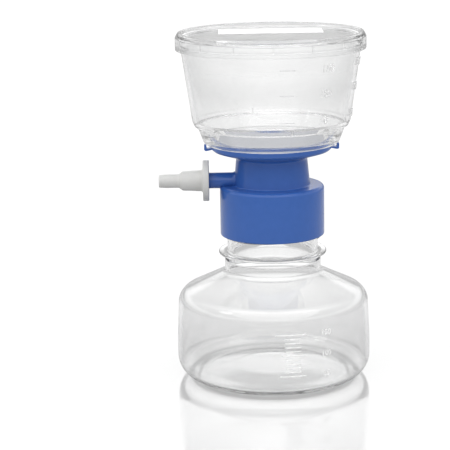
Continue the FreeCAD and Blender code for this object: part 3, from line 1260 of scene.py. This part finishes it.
@dataclass
class Studio:
    """Floor, two soft lamps, world and camera. Lengths here are metres.

    The sky's stops are height in degrees and level.
    """

    floor_reach: float = 9.0
    floor_finish: FloorGloss = FloorGloss("studio_floor")
    sky: Stops = (
        (0.0, 0.6), (8.0, 0.62), (10.5, 1.25), (14.0, 1.3), (17.0, 1.5), (21.5, 1.5), (27.0, 0.85),
        (42.0, 0.65), (60.0, 0.95), (90.0, 0.95))
    sky_top: float = 1.6
    lamps: tuple[tuple[str, float, float, float, float], ...] = (
        ("key_light", 1.45, 62.0, 0.0, 85.0), ("side_light", 0.12, 45.0, -78.0, 14.0))
    camera_place: Triple = (-0.021, -0.717, 0.2299)
    camera_pitch_deg: float = 12.74
    camera_roll_deg: float = -0.98
    camera_lens: float = 132.7
    camera_sensor: float = 36.0
    camera_clip: Pair = (0.05, 30.0)
    clear_bounces: int = 96
    shadow_bounces: int = 64
    mirror_bounces: int = 24

    def floor(self) -> None:
        """Wide glossy floor that stays white for the camera and keeps its shadows."""
        mesh = bpy.data.meshes.new("floor")
        plane = bmesh.new()
        bmesh.ops.create_grid(plane, x_segments=1, y_segments=1, size=self.floor_reach)
        plane.to_mesh(mesh)
        plane.free()
        mesh.materials.append(self.floor_finish.material())
        made = placed("floor", mesh)

    def world(self) -> None:
        """Soft ring of light low in the sky, dimmer under and over it, and plain white for the camera."""
        world = bpy.data.worlds.new("studio_world")
        bpy.context.scene.world = world
        world.use_nodes = True
        world.node_tree.nodes.clear()
        n = Nodes(world.node_tree)
        place = n.add("ShaderNodeTexCoord").outputs["Generated"]
        height = n.add("ShaderNodeSeparateXYZ", {0: place}).outputs["Z"]
        stops = tuple((math.sin(math.radians(deg)), level / self.sky_top) for deg, level in self.sky)
        colour = n.add("ShaderNodeMix", {
            "Factor": n.add("ShaderNodeLightPath").outputs["Is Camera Ray"],
            "A": levelled(n, height, stops), "B": (*grey(1.0 / self.sky_top), 1.0),
        }, data_type="RGBA")
        background = n.add("ShaderNodeBackground", {
            "Color": colour.outputs["Result"], "Strength": self.sky_top})
        n.add("ShaderNodeOutputWorld", {"Surface": background.outputs["Background"]})

    @staticmethod
    def lamp(name: str, strength: float, height_deg: float, turn_deg: float, spread_deg: float) -> None:
        """Far soft lamp.

        Args:
            name: lamp name.
            strength: its strength.
            height_deg: height above the horizon.
            turn_deg: direction from the front, to the right.
            spread_deg: how wide it looks.
        """
        data = bpy.data.lights.new(name, "SUN")
        data.energy = strength
        data.angle = math.radians(spread_deg)
        height, turn = math.radians(height_deg), math.radians(turn_deg)
        from_where = Vector((
            math.cos(height) * math.sin(turn), -math.cos(height) * math.cos(turn), math.sin(height)))
        placed(name, data).rotation_euler = from_where.to_track_quat("Z", "Y").to_euler()

    def camera(self) -> None:
        """Long lens a little above the lid, tilted down."""
        data = bpy.data.cameras.new("camera")
        data.lens = self.camera_lens
        data.sensor_width = self.camera_sensor
        data.clip_start, data.clip_end = self.camera_clip
        made = placed("camera", data)
        tilt = Matrix.Rotation(math.radians(90.0 - self.camera_pitch_deg), 4, "X")
        roll = Matrix.Rotation(math.radians(self.camera_roll_deg), 4, "Z")
        made.matrix_world = Matrix.Translation(self.camera_place) @ tilt @ roll
        bpy.context.scene.camera = made

    def build(self) -> None:
        """Set up the whole studio."""
        self.floor()
        self.world()
        for lamp in self.lamps:
            self.lamp(*lamp)
        self.camera()
        scene = bpy.context.scene
        scene.view_settings.view_transform = "Standard"
        scene.cycles.max_bounces = self.clear_bounces
        scene.cycles.transmission_bounces = self.clear_bounces
        scene.cycles.transparent_max_bounces = self.shadow_bounces
        scene.cycles.glossy_bounces = self.mirror_bounces
        scene.cycles.caustics_reflective = False
        scene.cycles.caustics_refractive = False


def dress_node(node: str, material: Material) -> None:
    """Give a carried-over node its finish.

    Args:
        node: CAD node name.
        material: its finish.
    """
    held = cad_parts[node]
    held.data.materials.clear()
    held.data.materials.append(material)
    LOG.info("%s: carried over", node)


def main() -> None:
    """Build the pieces in order, then the studio."""
    logging.basicConfig(level=logging.INFO, format="%(name)s %(message)s")
    levels = Levels.read()
    # In each clear finish the edge colour, the third colour, is painted shade where the plastic is seen edge
    # on.
    bottle_clear = ClearPlastic("bottle_polystyrene").material()
    chamber_clear = ClearPlastic("chamber_polystyrene").material()
    lid_clear = ClearPlastic("lid_polystyrene", edge=(0.62, 0.622, 0.625)).material()
    bottle_marks = ClearPlastic(
        "bottle_raised_marks", grey(0.93), grey(0.97), grey(0.93), roughness=(0.2, 0.35),
        transmission=0.35).material()
    chamber_marks = ClearPlastic(
        "chamber_raised_marks", grey(0.93), grey(0.97), grey(0.9), roughness=(0.12, 0.25),
        transmission=0.75).material()
    frosted = ClearPlastic(
        "frosted_panel", grey(0.93), grey(0.97), grey(0.95), roughness=(0.45, 0.6),
        transmission=0.25).material()
    blue = OpaquePlastic(
        "blue_moulding", (0.033, 0.107, 0.375), (0.036, 0.113, 0.395), (0.16, 0.24),
        grain=(2600.0, 0.05), specular=0.4).material()
    white = OpaquePlastic(
        "adaptor_moulding", (0.54, 0.54, 0.53), (0.58, 0.58, 0.57), (0.4, 0.5)).material()
    # The membrane is a white film; its mid-grey colour is painted shade, darkened to the grey it looks in
    # the shade under the chamber and lid.
    film = PorousFilm("membrane_film_painted_shade", (0.5, 0.51, 0.54), (0.58, 0.59, 0.62), 3000.0, 0.3).material()
    fibre = PorousFilm("plug_fibre", (0.75, 0.75, 0.73), (0.9, 0.9, 0.88), 1200.0, 0.8).material()
    rubber = OpaquePlastic(
        "gasket_rubber", (0.7, 0.7, 0.68), (0.78, 0.78, 0.76), (0.45, 0.6)).material()
    receiver = ReceiverBottle(levels, bottle_clear, bottle_marks)
    for part in (
        receiver,
        FilterBase(levels, blue, receiver),
        HoseAdaptor(levels, white),
        UpperChamber(levels, chamber_clear, chamber_marks),
        Lid(levels, lid_clear, frosted),
    ):
        part.build()
    dress_node("membrane", film)
    dress_node("port_plug", fibre)
    dress_node("neck_gasket", rubber)
    Studio().build()


if __name__ == "__main__":
    main()
